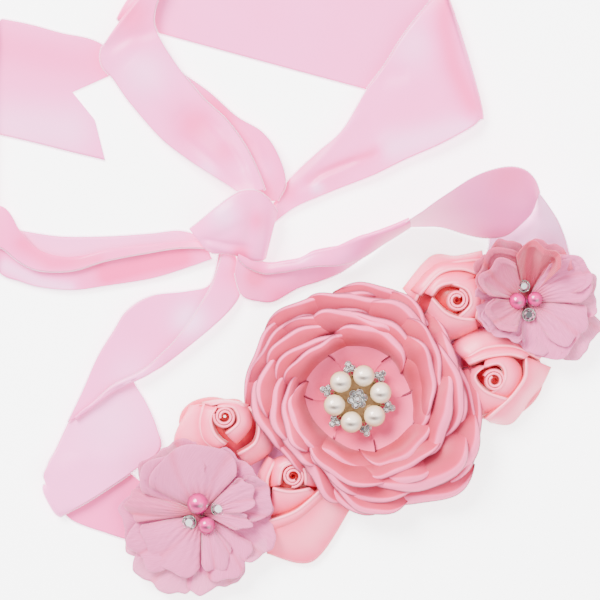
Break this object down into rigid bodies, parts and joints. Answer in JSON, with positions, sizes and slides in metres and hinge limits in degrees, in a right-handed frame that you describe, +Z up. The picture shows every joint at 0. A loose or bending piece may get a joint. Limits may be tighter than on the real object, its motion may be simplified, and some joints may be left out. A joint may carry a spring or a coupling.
{
  "type": "satin flower sash",
  "caption": "Satin ribbon sash with a spray of satin and chiffon flowers and a pearl brooch, tied in a knot and laid flat.",
  "frame": {"origin": "middle of the laid-out sash's outline, on the surface it lies on", "axes": "+Z up from the surface, +X to the right and +Y away as the sash is seen from above"},
  "size_m": [0.2546, 0.237, 0.0357],
  "materials": {
    "ribbon_satin": "glossy satin ribbon with a fine picot edge",
    "petal_satin": "matt satin with singed edges",
    "chiffon": "sheer crinkled chiffon",
    "rose_satin": "glossy folded satin ribbon",
    "ivory_pearl": "pearl",
    "pink_pearl": "pearl",
    "silver": "polished",
    "crystal": "cut and foil backed"
  },
  "bodies": {
    "root": {"belt": "ribbon_satin", "left_turn": "ribbon_satin", "left_fold": "ribbon_satin", "left_strand": "ribbon_satin", "right_strand": "ribbon_satin", "right_loop_back": "ribbon_satin", "right_loop_front": "ribbon_satin", "knot_wrap": "ribbon_satin", "loop_front": "ribbon_satin", "loop_back": "ribbon_satin", "loop_top": "ribbon_satin", "loop_under": "ribbon_satin", "second_tail": "ribbon_satin", "tail_folded": "ribbon_satin", "tail_turn": "ribbon_satin", "tail_end": "ribbon_satin", "petals_outer": "petal_satin", "petals_second": "petal_satin", "petals_third": "petal_satin", "petals_fourth": "petal_satin", "petals_fifth": "petal_satin", "petals_sixth": "petal_satin", "petals_inner": "petal_satin", "left_chiffon_under": "chiffon", "left_chiffon_middle": "chiffon", "left_chiffon_top": "chiffon", "right_chiffon_under": "chiffon", "right_chiffon_middle": "chiffon", "right_chiffon_top": "chiffon", "rosette_upper": "rose_satin", "rosette_right": "rose_satin", "rosette_left": "rose_satin", "rosette_lower": "rose_satin", "brooch_pearl_1": "ivory_pearl", "brooch_pearl_2": "ivory_pearl", "brooch_pearl_3": "ivory_pearl", "brooch_pearl_4": "ivory_pearl", "brooch_pearl_5": "ivory_pearl", "brooch_pearl_6": "ivory_pearl", "left_pearl_large": "pink_pearl", "left_pearl_small": "pink_pearl", "right_pearl_large": "pink_pearl", "right_pearl_small": "pink_pearl", "brooch_plate": "silver", "brooch_stone_1": "crystal", "brooch_stone_2": "crystal", "brooch_stone_3": "crystal", "brooch_stone_4": "crystal", "brooch_stone_5": "crystal", "brooch_stone_6": "crystal", "brooch_cluster": "crystal", "left_stone_lower": "crystal", "left_stone_upper": "crystal", "right_stone_upper": "crystal", "right_stone_lower": "crystal"}
  },
  "joints": []
}
